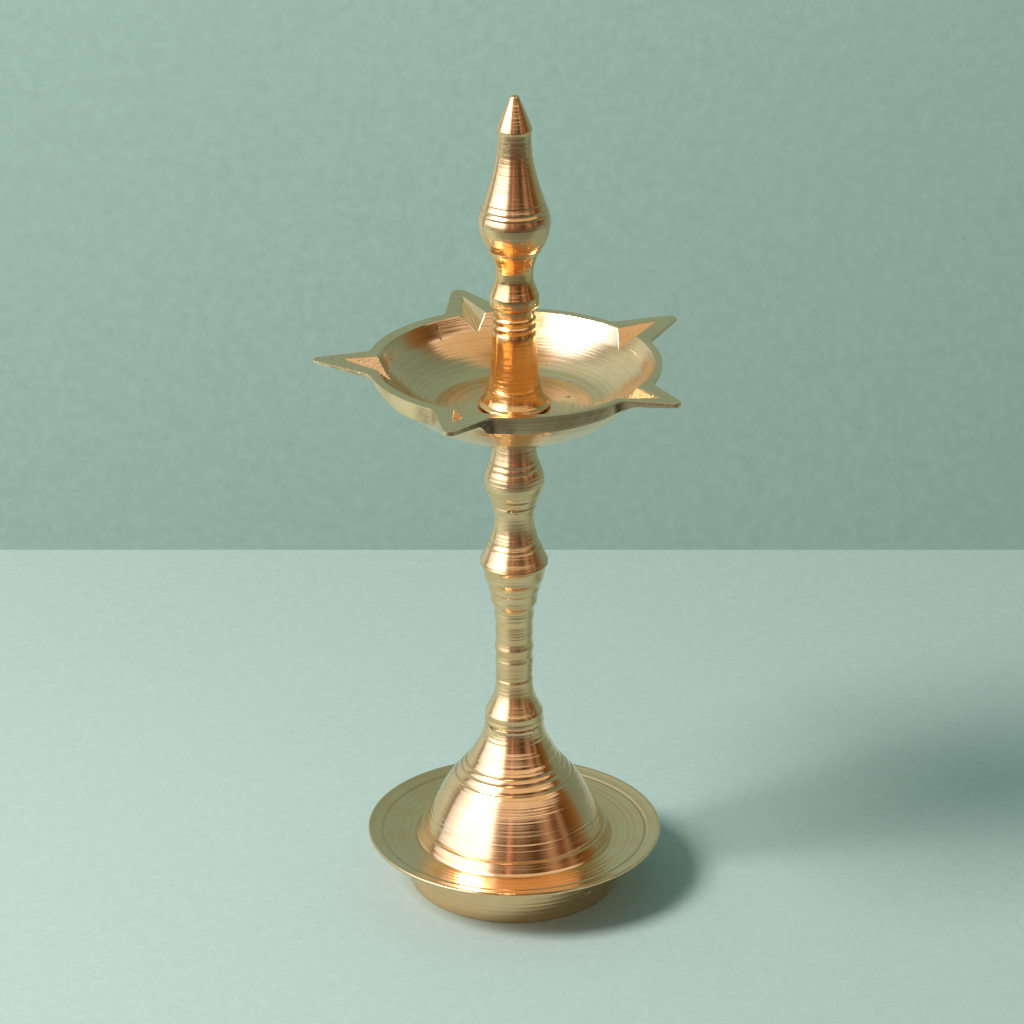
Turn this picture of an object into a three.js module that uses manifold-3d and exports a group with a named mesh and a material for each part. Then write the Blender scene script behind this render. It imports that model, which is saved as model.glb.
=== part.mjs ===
// Standing brass oil lamp (samai): a flanged foot, a turned stem, a five-spouted bowl and
// a turned finial, held together by threaded studs. Millimetres, +Z up. The origin is on the
// lamp's axis, in the plane of the surface it stands on.
import * as THREE from 'three';
import { ConvexGeometry } from 'three/addons/geometries/ConvexGeometry.js';
import { mergeVertices } from 'three/addons/utils/BufferGeometryUtils.js';
import Module from 'manifold-3d';

// ---------------------------------------------------------------- driving dimensions
const HEIGHT = 225; // foot to tip
const SEAT_GAP = 0.3; // between the faces of two pieces screwed together
const THREAD_GAP = 0.3; // between a stud and its hole

const FOOT_R = 28.2; // outer radius of the ring the lamp stands on
const FOOT_WALL = 2.8;
const FLANGE_R = 40;
const FLANGE_EDGE_Z = 15.3; // top of the flange's raised edge
const FLANGE_EDGE_T = 0.9;
const BASE_TOP_Z = 47.2; // where the stem is seated
const BASE_CEILING_Z = 33; // top of the hollow under the foot
const NECK_R = 7.9;

const STEM_TOP_Z = 130.2;
const BOWL_FLOOR_Z = 139.7;
const RIM_Z = 152;
const RIM_R = 38.8;
const RIM_FACE = 1.9; // width of the rim's flat top
const BAND_H = 4.4; // height of the upright band below the rim
const COLUMN_TOP_Z = 182.7;

// The spouts were filed by hand and differ a little: bearing in degrees about Z, axis to tip,
// half-width at the rim, radius of the tip, and axis to the end of the wick channel.
const SPOUTS = [
  { bearing: 178.3, reach: 52.8, rootHalf: 7.6, tipR: 1.6, channelEnd: 44.9 },
  { bearing: 106.6, reach: 54.5, rootHalf: 8.1, tipR: 2.3, channelEnd: 49.5 },
  { bearing: 36.8, reach: 54, rootHalf: 8.15, tipR: 1.9, channelEnd: 48.7 },
  { bearing: -34.3, reach: 51.4, rootHalf: 7.3, tipR: 1.7, channelEnd: 45.2 },
  { bearing: -109.4, reach: 51, rootHalf: 7.75, tipR: 1.8, channelEnd: 44.3 },
];
const CHANNEL_HALF = 5; // half-width of the wick channel at the bowl's inner wall
const CHANNEL_DEPTH = 4.8;

const STUD_R = 3.2; // quarter-inch thread
const STUD_BITE = 9.5; // length screwed into each piece
const BUD_STUD_R = 2.4; // three-sixteenths thread
const BUD_STUD_BITE = 6.5;

const LARGE_SEGMENTS = 48;
const SMALL_SEGMENTS = 32;
const STUD_SEGMENTS = 24;

// ---------------------------------------------------------------- materials
function brass(color, roughness) {
  return new THREE.MeshStandardMaterial({ color, roughness, metalness: 1 });
}

const polishedBrass = () => brass(0xd9b169, 0.18);
const satinBrass = () => brass(0xb39a5c, 0.38);
const threadBrass = () => brass(0xa88a4e, 0.45);

// ---------------------------------------------------------------- outlines
// An outline is a list of [radius, height] points. Round stretches come from these two.

/** Points on an arc from a to b that bulges sideways by `bulge` (left of a->b is positive). */
function arc(a, b, bulge, steps) {
  const [dx, dy] = [b[0] - a[0], b[1] - a[1]];
  const chord = Math.hypot(dx, dy);
  const radius = (chord * chord) / (8 * bulge) + bulge / 2;
  const half = Math.asin(Math.min(1, chord / (2 * Math.abs(radius))));
  const toCentre = Math.abs(radius) * Math.cos(half) * Math.sign(bulge);
  const centre = [
    (a[0] + b[0]) / 2 + (dy / chord) * toCentre,
    (a[1] + b[1]) / 2 - (dx / chord) * toCentre,
  ];
  const start = Math.atan2(a[1] - centre[1], a[0] - centre[0]);
  const sweep = -2 * half * Math.sign(bulge);
  return Array.from({ length: steps + 1 }, (_, i) => {
    const t = start + (sweep * i) / steps;
    return [centre[0] + Math.abs(radius) * Math.cos(t), centre[1] + Math.abs(radius) * Math.sin(t)];
  });
}

/** Points on a smooth curve through the given points. */
function smooth(points, steps) {
  const curve = new THREE.SplineCurve(points.map(([r, z]) => new THREE.Vector2(r, z)));
  return curve.getPoints(steps).map((p) => [p.x, p.y]);
}

/** A closed solid of revolution about Z; the outline runs anticlockwise around the material. */
function turned(outline, segments) {
  const points = outline.map(([r, z]) => new THREE.Vector2(r, z));
  return new THREE.LatheGeometry(points, segments).rotateX(Math.PI / 2);
}

// ---------------------------------------------------------------- the turned pieces

/** Foot ring, dished flange, dome and neck: one hollow casting, tapped through for the stud. */
function baseGeometry() {
  const hole = STUD_R + THREAD_GAP;
  const inner = FOOT_R - FOOT_WALL;
  const dome = smooth([[24.7, 16.6], [23.3, 19.4], [21.4, 23.2], [19.2, 27.4], [16.0, 32.1]], 7);
  const shoulder = smooth(
    [
      [16.0, 32.1], [14.3, 34.2], [12.8, 35.8], [10.9, 38.9], [9.3, 42.1], [8.2, 45.2],
    ],
    8,
  );
  const outline = [
    [hole, BASE_CEILING_Z],
    ...arc([10, BASE_CEILING_Z], [inner - 2.6, 14], 1.4, 4),
    [inner, 10.5],
    [inner, 0],
    [FOOT_R, 0],
    [FOOT_R, 11.6],
    [FOOT_R + 1, 12.2],
    [FLANGE_R, FLANGE_EDGE_Z - FLANGE_EDGE_T],
    [FLANGE_R, FLANGE_EDGE_Z],
    [35.6, 14.3],
    [27.8, 13.2],
    [26.5, 13.4],
    [25.3, 15.9],
    ...dome,
    ...shoulder.slice(1),
    [NECK_R, 46.4],
    [NECK_R, BASE_TOP_Z],
    [hole, BASE_TOP_Z],
    [hole, BASE_CEILING_Z],
  ];
  return turned(outline, LARGE_SEGMENTS);
}

/** Baluster stem with a tapped socket at each end. */
function stemGeometry() {
  const hole = STUD_R + THREAD_GAP;
  const bottom = BASE_TOP_Z + SEAT_GAP;
  const lowerEnd = bottom + STUD_BITE + 1;
  const upperEnd = STEM_TOP_Z - STUD_BITE - 1;
  const lowerCollar = [[7.9, bottom], [8.0, 48.3], [7.7, 49.4], [7.9, 50.4], [7.5, 51.1]];
  const lowerFlare = smooth([[7.5, 51.1], [6.5, 53.2], [5.6, 55.8], [5.1, 58.6]], 5);
  const ripples = [
    [4.95, 61], [5.1, 64.5], [4.95, 67.5], [5.2, 69.4], [5.0, 72.5], [5.05, 76.8],
    [5.3, 78], [5.3, 81.5],
  ];
  const steps = [
    [5.8, 82.6], [6.3, 84], [6.4, 85.6], [6.8, 87], [7.05, 88.4], [7.3, 89.4], [7.9, 90.4],
    [8.1, 91.7],
  ];
  const lowerKnop = smooth(
    [
      [8.3, 92.4], [8.9, 94.4], [9.0, 95.4], [8.5, 96.6], [7.4, 99], [6.3, 101.6],
      [5.6, 104], [5.4, 107], [5.5, 109.4],
    ],
    14,
  );
  const upperKnop = smooth(
    [
      [6.4, 112.4], [7.2, 114.7], [7.9, 116.9], [8.0, 118.6], [7.4, 121.6], [6.4, 124.2],
      [5.75, 126.4],
    ],
    10,
  );
  const outline = [
    [0, lowerEnd],
    [hole, lowerEnd],
    [hole, bottom],
    ...lowerCollar,
    ...lowerFlare.slice(1),
    ...ripples,
    ...steps,
    ...lowerKnop,
    [6.0, 110.9],
    ...upperKnop,
    [5.8, 128.2],
    [6.0, STEM_TOP_Z],
    [hole, STEM_TOP_Z],
    [hole, upperEnd],
    [0, upperEnd],
  ];
  return turned(outline, SMALL_SEGMENTS);
}

/** Finial column: flared foot, slim shaft, collar and waist, with a socket at each end. */
function columnGeometry() {
  const hole = STUD_R + THREAD_GAP;
  const budHole = BUD_STUD_R + THREAD_GAP;
  const bottom = BOWL_FLOOR_Z + SEAT_GAP;
  const socketTop = bottom + STUD_BITE + 1;
  const socketFloor = COLUMN_TOP_Z - BUD_STUD_BITE - 1;
  const shaft = smooth(
    [
      [9.4, 140.4], [8.5, 141.3], [7.4, 143.7], [6.7, 146.8], [6.1, 152.4], [5.9, 159],
    ],
    8,
  );
  const waist = smooth([[6.4, 171.2], [5.4, 173.6], [5.0, 176.4], [5.3, 179.4], [6.2, 182.2]], 7);
  const outline = [
    [0, socketTop],
    [hole, socketTop],
    [hole, bottom],
    [9.6, bottom],
    ...shaft,
    [5.5, 160.6],
    [5.75, 161.9],
    [5.45, 163],
    [5.75, 164.2],
    [5.3, 165],
    [5.3, 167.4],
    [6.5, 168],
    [6.4, 169.4],
    [6.55, 170.8],
    ...waist,
    [6.2, COLUMN_TOP_Z],
    [budHole, COLUMN_TOP_Z],
    [budHole, socketFloor],
    [0, socketFloor],
  ];
  return turned(outline, SMALL_SEGMENTS);
}

/** Lotus-bud tip: a round bulb, a long neck and a pointed cone. */
function budGeometry() {
  const hole = BUD_STUD_R + THREAD_GAP;
  const bottom = COLUMN_TOP_Z + SEAT_GAP;
  const socketTop = bottom + BUD_STUD_BITE + 1;
  const bulb = smooth(
    [
      [7.4, 183.8], [8.4, 186], [9.3, 188.8], [9.45, 190.9], [8.8, 193.8], [7.3, 198.5],
      [5.6, 204], [4.7, 208.6], [4.45, 214],
    ],
    16,
  );
  const outline = [
    [0, socketTop],
    [hole, socketTop],
    [hole, bottom],
    [7.1, bottom],
    ...bulb,
    [4.45, 215.4],
    [4.7, 216],
    [1.1, HEIGHT - 0.9],
    [0.7, HEIGHT - 0.3],
    [0, HEIGHT],
  ];
  return turned(outline, SMALL_SEGMENTS);
}

/** A plain rod at the thread's outer size, with chamfered ends. */
function studGeometry(radius, from, to) {
  const chamfer = 0.6;
  const outline = [
    [0, from],
    [radius - chamfer, from],
    [radius, from + chamfer],
    [radius, to - chamfer],
    [radius - chamfer, to],
    [0, to],
  ];
  return turned(outline, STUD_SEGMENTS);
}

// ---------------------------------------------------------------- the bowl
const wasm = await Module();
wasm.setup();

function toSolid(geometry) {
  const bare = geometry.clone();
  bare.deleteAttribute('normal');
  bare.deleteAttribute('uv');
  const merged = mergeVertices(bare, 1e-4);
  const mesh = new wasm.Mesh({
    numProp: 3,
    vertProperties: new Float32Array(merged.attributes.position.array),
    triVerts: new Uint32Array(merged.index.array),
  });
  return new wasm.Manifold(mesh);
}

function toGeometry(solid) {
  const mesh = solid.getMesh();
  const geometry = new THREE.BufferGeometry();
  geometry.setAttribute('position', new THREE.BufferAttribute(mesh.vertProperties, 3));
  geometry.setIndex(new THREE.BufferAttribute(mesh.triVerts, 1));
  geometry.computeVertexNormals();
  return geometry;
}

/** The round dish, with an upright band at its rim and a hole for the stud. */
function dishGeometry() {
  const hole = STUD_R + THREAD_GAP;
  const bandBottom = RIM_Z - BAND_H;
  const underside = smooth(
    [[7.4, 131.5], [14, 133.2], [20.4, 136], [25.5, 138.4], [30.6, 142.2], [36.2, bandBottom]],
    9,
  );
  const inside = smooth(
    [
      [RIM_R - RIM_FACE, RIM_Z], [35, 149.4], [32.2, 146.4], [28.4, 143.1], [24.6, 140.8],
      [21, BOWL_FLOOR_Z],
    ],
    8,
  );
  const outline = [
    [hole, STEM_TOP_Z + SEAT_GAP],
    [7.2, STEM_TOP_Z + SEAT_GAP],
    ...underside,
    [RIM_R - 0.5, bandBottom],
    [RIM_R, bandBottom + 1.2],
    [RIM_R, RIM_Z],
    ...inside,
    [hole, BOWL_FLOOR_Z],
    [hole, STEM_TOP_Z + SEAT_GAP],
  ];
  return turned(outline, LARGE_SEGMENTS);
}

/** One spout along +X: flat on top, prow-shaped below, thin at the tip. */
function spoutGeometry({ reach, rootHalf, tipR }) {
  const root = RIM_R - 3.4; // buried in the wall of the dish
  const tipCentre = reach - tipR;
  const points = [];
  for (const side of [-1, 1]) {
    points.push(new THREE.Vector3(root, side * (rootHalf + 0.6), RIM_Z));
    points.push(new THREE.Vector3(RIM_R, side * rootHalf, RIM_Z));
    points.push(new THREE.Vector3(RIM_R, side * rootHalf, RIM_Z - 2.2));
    points.push(new THREE.Vector3(root + 1, side * 3, RIM_Z - BAND_H));
    for (const degrees of [0, 35, 70]) {
      const a = THREE.MathUtils.degToRad(degrees);
      const x = tipCentre + tipR * Math.cos(a);
      const y = side * tipR * Math.sin(a);
      points.push(new THREE.Vector3(x, y, RIM_Z));
      points.push(new THREE.Vector3(x - 0.2, y, RIM_Z - 1.1));
    }
  }
  points.push(new THREE.Vector3(RIM_R, 0, RIM_Z - BAND_H - 0.4));
  points.push(new THREE.Vector3(46, 0, RIM_Z - 3.2));
  return new ConvexGeometry(points);
}

/** The V-shaped wick channel of the spout along +X, open to the bowl and above. */
function channelGeometry({ channelEnd }) {
  const mouth = RIM_R - 5.5;
  const above = RIM_Z + 1;
  const points = [
    new THREE.Vector3(mouth, 0, RIM_Z - CHANNEL_DEPTH),
    new THREE.Vector3(channelEnd, 0, RIM_Z - 0.05),
  ];
  for (const side of [-1, 1]) {
    points.push(new THREE.Vector3(mouth, side * CHANNEL_HALF, above));
    points.push(new THREE.Vector3(channelEnd, side * 0.4, above));
  }
  return new ConvexGeometry(points);
}

/** The bowl with its five spouts: one casting. */
function bowlGeometry() {
  let bowl = toSolid(dishGeometry());
  for (const spout of SPOUTS) {
    const turn = new THREE.Matrix4().makeRotationZ(THREE.MathUtils.degToRad(spout.bearing));
    bowl = bowl.add(toSolid(spoutGeometry(spout).applyMatrix4(turn)));
    bowl = bowl.subtract(toSolid(channelGeometry(spout).applyMatrix4(turn)));
  }
  return toGeometry(bowl);
}

// ---------------------------------------------------------------- assembly
const lamp = new THREE.Group();

function addPiece(name, geometry, material) {
  const mesh = new THREE.Mesh(geometry, material);
  mesh.name = name;
  lamp.add(mesh);
}

const upperStudTop = BOWL_FLOOR_Z + SEAT_GAP + STUD_BITE;

addPiece('base', baseGeometry(), polishedBrass());
addPiece('lower_stud', studGeometry(STUD_R, BASE_TOP_Z - STUD_BITE, BASE_TOP_Z + STUD_BITE), threadBrass());
addPiece('stem', stemGeometry(), polishedBrass());
addPiece('bowl', bowlGeometry(), satinBrass());
addPiece('upper_stud', studGeometry(STUD_R, STEM_TOP_Z - STUD_BITE, upperStudTop), threadBrass());
addPiece('column', columnGeometry(), polishedBrass());
addPiece(
  'bud_stud',
  studGeometry(BUD_STUD_R, COLUMN_TOP_Z - BUD_STUD_BITE, COLUMN_TOP_Z + BUD_STUD_BITE),
  threadBrass(),
);
addPiece('bud', budGeometry(), polishedBrass());

export default lamp;
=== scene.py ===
"""Looks for the standing brass oil lamp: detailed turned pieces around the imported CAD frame."""
import math

import bpy
import numpy as np
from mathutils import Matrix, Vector


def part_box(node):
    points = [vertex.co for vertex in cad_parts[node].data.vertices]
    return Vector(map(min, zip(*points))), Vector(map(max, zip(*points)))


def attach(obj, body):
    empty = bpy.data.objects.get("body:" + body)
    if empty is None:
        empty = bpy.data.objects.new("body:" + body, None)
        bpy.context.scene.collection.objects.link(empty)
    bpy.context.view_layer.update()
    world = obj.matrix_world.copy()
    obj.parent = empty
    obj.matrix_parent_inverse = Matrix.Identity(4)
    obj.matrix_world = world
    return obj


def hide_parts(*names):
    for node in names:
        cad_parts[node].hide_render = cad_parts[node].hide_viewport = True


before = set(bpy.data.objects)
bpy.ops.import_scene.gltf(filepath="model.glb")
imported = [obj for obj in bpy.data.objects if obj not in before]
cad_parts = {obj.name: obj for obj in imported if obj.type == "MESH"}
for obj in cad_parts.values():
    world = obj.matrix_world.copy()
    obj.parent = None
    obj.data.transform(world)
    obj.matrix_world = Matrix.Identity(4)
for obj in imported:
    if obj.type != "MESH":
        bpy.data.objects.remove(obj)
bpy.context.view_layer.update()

MM = 0.001
TAU = 2 * math.pi

# ------------------------------------------------------------------ places from the CAD, in mm


def corner(node, which):
    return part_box(node)[which] / MM


BASE_TOP = corner("base", 1).z
STEM_BOTTOM, STEM_TOP = corner("stem", 0).z, corner("stem", 1).z
RIM_Z = min(corner("bowl", 1).z, 152.0)
BOWL_BOTTOM = corner("bowl", 0).z
COLUMN_BOTTOM, COLUMN_TOP = corner("column", 0).z, corner("column", 1).z
BUD_BOTTOM, TIP_Z = corner("bud", 0).z, corner("bud", 1).z
STUD_R = corner("lower_stud", 1).x
BUD_STUD_R = corner("bud_stud", 1).x
GAP = 0.3  # between seats, and round the studs
BOWL_FLOOR = COLUMN_BOTTOM - GAP

# ------------------------------------------------------------------ meshes


def make_object(name, verts, faces, body, replaced, soil, smooth_angle=32):
    """A mesh object in metres from millimetre points, riding on its body; soil is its dirt, 0 to 1."""
    mesh = bpy.data.meshes.new(name)
    mesh.from_pydata((np.asarray(verts) * MM).tolist(), [], faces)
    mesh.validate()
    mesh.polygons.foreach_set("use_smooth", [True] * len(mesh.polygons))
    mesh.set_sharp_from_angle(angle=math.radians(smooth_angle))
    layer = mesh.attributes.new("soil", "FLOAT", "POINT")
    layer.data.foreach_set("value", np.asarray(soil, np.float32))
    obj = bpy.data.objects.new(name, mesh)
    bpy.context.scene.collection.objects.link(obj)
    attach(obj, body)
    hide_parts(replaced)
    return obj


def spline(points, step=0.25):
    """Points every `step` along a smooth curve through the given points (centripetal)."""
    p = np.array(points, float)
    if len(p) == 2:
        n = max(2, int(np.ceil(np.linalg.norm(p[1] - p[0]) / step)) + 1)
        return np.linspace(p[0], p[1], n)
    p = np.vstack([2 * p[0] - p[1], p, 2 * p[-1] - p[-2]])
    out = []
    for i in range(1, len(p) - 2):
        a, b, c, d = p[i - 1], p[i], p[i + 1], p[i + 2]
        ta = 0.0
        tb = ta + np.linalg.norm(b - a) ** 0.5
        tc = tb + np.linalg.norm(c - b) ** 0.5
        td = tc + np.linalg.norm(d - c) ** 0.5
        n = max(1, int(np.ceil(np.linalg.norm(c - b) / step)))
        for t in np.linspace(tb, tc, n, endpoint=False):
            a1 = (tb - t) / (tb - ta) * a + (t - ta) / (tb - ta) * b
            a2 = (tc - t) / (tc - tb) * b + (t - tb) / (tc - tb) * c
            a3 = (td - t) / (td - tc) * c + (t - tc) / (td - tc) * d
            b1 = (tc - t) / (tc - ta) * a1 + (t - ta) / (tc - ta) * a2
            b2 = (td - t) / (td - tb) * a2 + (t - tb) / (td - tb) * a3
            out.append((tc - t) / (tc - tb) * b1 + (t - tb) / (tc - tb) * b2)
    out.append(p[-2])
    return np.array(out)


def outline(*runs, step=0.25):
    """Runs of points joined end to end. Each run is smooth inside and meets the next at a corner."""
    parts = [spline(run, step) for run in runs]
    return np.vstack([parts[0]] + [part[1:] for part in parts[1:]])


def normals_2d(points):
    """Outward normals of an outline that runs anticlockwise around the material."""
    t = np.gradient(points, axis=0)
    t /= np.maximum(np.linalg.norm(t, axis=1, keepdims=True), 1e-9)
    return np.stack([t[:, 1], -t[:, 0]], 1)


GROOVE_DIRT = 0.3  # how dirty a groove gets
DIRTY_DEPTH = 0.12  # from this depth on
DIRT_SPREAD = 1.3  # the dirt's width over the groove's


def cut_marks(points, marks):
    """Presses turned grooves (or raises beads, with depth < 0) into an outline.

    Each mark is (radius, height, half width, depth). Returns the outline and its dirt, 0 to 1."""
    n = normals_2d(points)
    depth = np.zeros(len(points))
    soil = np.zeros(len(points))
    for r, z, half, deep in marks:
        d = np.hypot(points[:, 0] - r, points[:, 1] - z)
        d = d - d.min()
        shape = np.exp(-((d / half) ** 2))
        depth += deep * shape
        dirt = np.exp(-((d / (DIRT_SPREAD * half)) ** 2)) * GROOVE_DIRT
        soil = np.maximum(soil, dirt * min(1.0, max(0.0, deep) / DIRTY_DEPTH))
    return points - n * depth[:, None], soil


def tool_chatter(points, seed, size, pitch, strength=1.0):
    """The uneven ridges that a hand-held turning tool leaves: small waves along the outline."""
    rng = np.random.default_rng(seed)
    length = np.concatenate([[0], np.cumsum(np.linalg.norm(np.diff(points, axis=0), axis=1))])
    knots = np.arange(0, length[-1] + pitch, pitch)
    knots = knots + rng.uniform(-0.3, 0.3, len(knots)) * pitch
    values = rng.normal(0, 1, len(knots)) * rng.choice([0.3, 0.6, 1.0, 1.6], len(knots))
    wave = np.interp(length, np.sort(knots), values) * size * strength
    return points - normals_2d(points) * wave[:, None]


def ring_quads(rows, segments, closed):
    """A grid's point numbers and its faces; a closed grid also joins its last row to its first."""
    index = np.arange(rows * segments).reshape(rows, segments)
    right = np.roll(index, -1, 1)
    upper = np.roll(index, -1, 0)
    upper_right = np.roll(upper, -1, 1)
    last = rows if closed else rows - 1
    quads = np.stack([index, right, upper_right, upper], 2)[:last].reshape(-1, 4).tolist()
    return index, quads


def end_fans(index, first, final):
    """Triangles from the two points on the axis to the first and the last row."""
    right = np.roll(index, -1, 1)
    fans = [[first, int(b), int(a)] for a, b in zip(index[0], right[0])]
    return fans + [[final, int(a), int(b)] for a, b in zip(index[-1], right[-1])]


def wrapped(degrees):
    return (degrees + 180) % 360 - 180


def turned(node, points, soil, pits, segments, wobble, seed):
    """A solid of revolution in place of one CAD node: a closed loop, or a line from axis to axis.

    pits are (degrees, height, radius, depth): small blowholes of the casting, on outer faces.
    wobble is how far the piece is out of round."""
    poles = points[0, 0] < 1e-6
    body_points, body_soil = (points[1:-1], soil[1:-1]) if poles else (points, soil)
    angles = np.linspace(0, TAU, segments, endpoint=False)
    r, z = body_points[:, 0:1], body_points[:, 1:2]
    on_outside = normals_2d(body_points)[:, 0:1] > 0.25
    rng = np.random.default_rng(seed)
    phases = rng.uniform(0, TAU, 6)
    out_of_round = sum(np.cos((k + 2) * angles + phases[k]) / (k + 1) for k in range(3))
    r = r + wobble * out_of_round[None, :] * np.sin(z * 0.11 + phases[4])
    dirt = np.repeat(body_soil[:, None], segments, 1)
    for degrees, height, size, deep in pits:
        arc = np.radians(wrapped(np.degrees(angles)[None, :] - degrees)) * body_points[:, 0:1]
        d = np.hypot(arc, (z - height) * 1.25)
        hole = np.clip(1.25 - d / size, 0, 1) ** 0.7
        facing = on_outside & (np.abs(z - height) < 3)
        r = r - deep * hole * facing
        dirt = np.maximum(dirt, np.clip(1.5 - d / size, 0, 1) * facing)
    x = r * np.cos(angles)[None, :]
    y = r * np.sin(angles)[None, :]
    grid = np.stack([x, y, np.broadcast_to(z, x.shape)], 2).reshape(-1, 3)
    index, faces = ring_quads(len(body_points), segments, closed=not poles)
    dirt = dirt.reshape(-1)
    if poles:
        faces += end_fans(index, len(grid), len(grid) + 1)
        grid = np.vstack([grid, [[0, 0, points[0, 1]], [0, 0, points[-1, 1]]]])
        dirt = np.concatenate([dirt, [0, 0]])
    return make_object("lamp_" + node, grid, faces, node, node, dirt)


# ------------------------------------------------------------------ the turned pieces
#
# Each profile is a list of runs of (radius, height), and each of its marks is
# (radius, height, half width, depth): a groove, or a raised bead if the depth is negative.

BORE = STUD_R + GAP
BUD_BORE = BUD_STUD_R + GAP
SOCKET = 10.5
BUD_SOCKET = 7.5
SOCKET_TIP_R = 0.6  # the drill's point
INSIDE_STEP = 1.5  # coarser than the outside, as it hardly shows


def socket_below(bore, depth, lower, edge_r):
    """The hole from the axis down to a piece's lower edge."""
    top = lower + depth
    return outline([(SOCKET_TIP_R, top), (bore, top)], [(bore, top), (bore, lower)],
                   [(bore, lower), (edge_r, lower)], step=INSIDE_STEP)


def socket_above(bore, depth, upper, edge_r):
    """The hole from a piece's upper edge down to the axis."""
    floor = upper - depth
    return outline([(edge_r, upper), (bore, upper)], [(bore, upper), (bore, floor)],
                   [(bore, floor), (SOCKET_TIP_R, floor)], step=INSIDE_STEP)


def build_base():
    """Foot ring, dished flange, dome and neck; hollow from below."""
    seat = BASE_TOP + 0.12
    outer = outline(
        [(25.4, 0.25), (25.65, 0)],
        [(25.65, 0), (27.9, 0)],
        [(27.9, 0), (28.2, 0.3)],
        [(28.2, 0.3), (28.2, 11.2)],
        [(28.2, 11.2), (28.45, 12.0), (29.3, 12.4)],
        [(29.3, 12.4), (39.6, 14.35)],
        [(39.6, 14.35), (39.93, 14.5), (40.0, 14.85), (39.9, 15.2), (39.55, 15.3)],
        [(39.55, 15.3), (38.6, 15.0), (35.6, 14.3), (31.5, 13.6), (28.4, 13.25), (26.7, 13.2)],
        [(26.7, 13.2), (26.2, 13.7), (25.75, 14.8), (25.3, 15.75)],
        [(25.3, 15.75), (25.15, 16.15), (24.85, 16.3), (24.6, 16.4)],
        [(24.6, 16.4), (24.3, 17.3), (23.3, 19.5), (22.1, 22.1), (20.7, 24.8), (19.1, 27.7),
         (17.5, 30.2), (15.97, 32.1), (14.27, 34.2), (12.95, 35.8), (11.5, 38.0), (10.3, 40.2),
         (9.2, 42.3), (8.4, 44.5), (8.0, 46.2)],
        [(8.0, 46.2), (7.93, 46.9)],
        [(7.93, 46.9), (7.86, seat)],
    )
    marks = [(15.97, 32.2, 0.3, 0.26), (14.27, 34.2, 0.28, 0.24), (13.07, 35.6, 0.28, 0.22),
             (36.0, 14.4, 0.22, 0.2), (24.7, 16.35, 0.2, 0.1), (26.75, 13.2, 0.22, 0.1),
             (38.9, 15.1, 0.3, -0.05), (33.8, 13.95, 0.4, 0.03), (31.9, 13.65, 0.4, 0.03),
             (30.2, 13.45, 0.4, 0.03), (28.6, 13.3, 0.4, 0.03)]
    marks += [(17.05 + 0.47 * i, 31.1 - 0.66 * i, 0.17, 0.045) for i in range(6)]
    outer, soil = cut_marks(outer, marks)
    # strongest on the dome, weak on the flange, nearly none on the foot ring
    strength = np.where(outer[:, 1] > 16.5, 1.0, np.where(outer[:, 1] > 13, 0.35, 0.15))
    outer = tool_chatter(outer, seed=11, size=0.014, pitch=0.5, strength=strength)
    inner = outline([(7.86, seat), (BORE, seat)], [(BORE, seat), (BORE, 33.0)],
                    [(BORE, 33.0), (10.0, 33.0), (17.5, 26.5), (22.8, 14.0)],
                    [(22.8, 14.0), (25.0, 12.2), (25.4, 10.5)], [(25.4, 10.5), (25.4, 0.25)], step=1.2)
    points = np.vstack([outer, inner[1:-1]])
    soil = np.concatenate([soil, np.full(len(inner) - 2, 0.25)])
    pits = [(-45, 5.0, 0.42, 0.3), (150, 6.0, 0.4, 0.25), (-75, 28.6, 0.22, 0.1),
            (-143, 46.9, 0.6, 0.3), (-134, 46.8, 0.3, 0.2), (-49, 46.9, 0.3, 0.2)]
    return turned("base", points, soil, pits, segments=176, wobble=0.03, seed=21)


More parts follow.
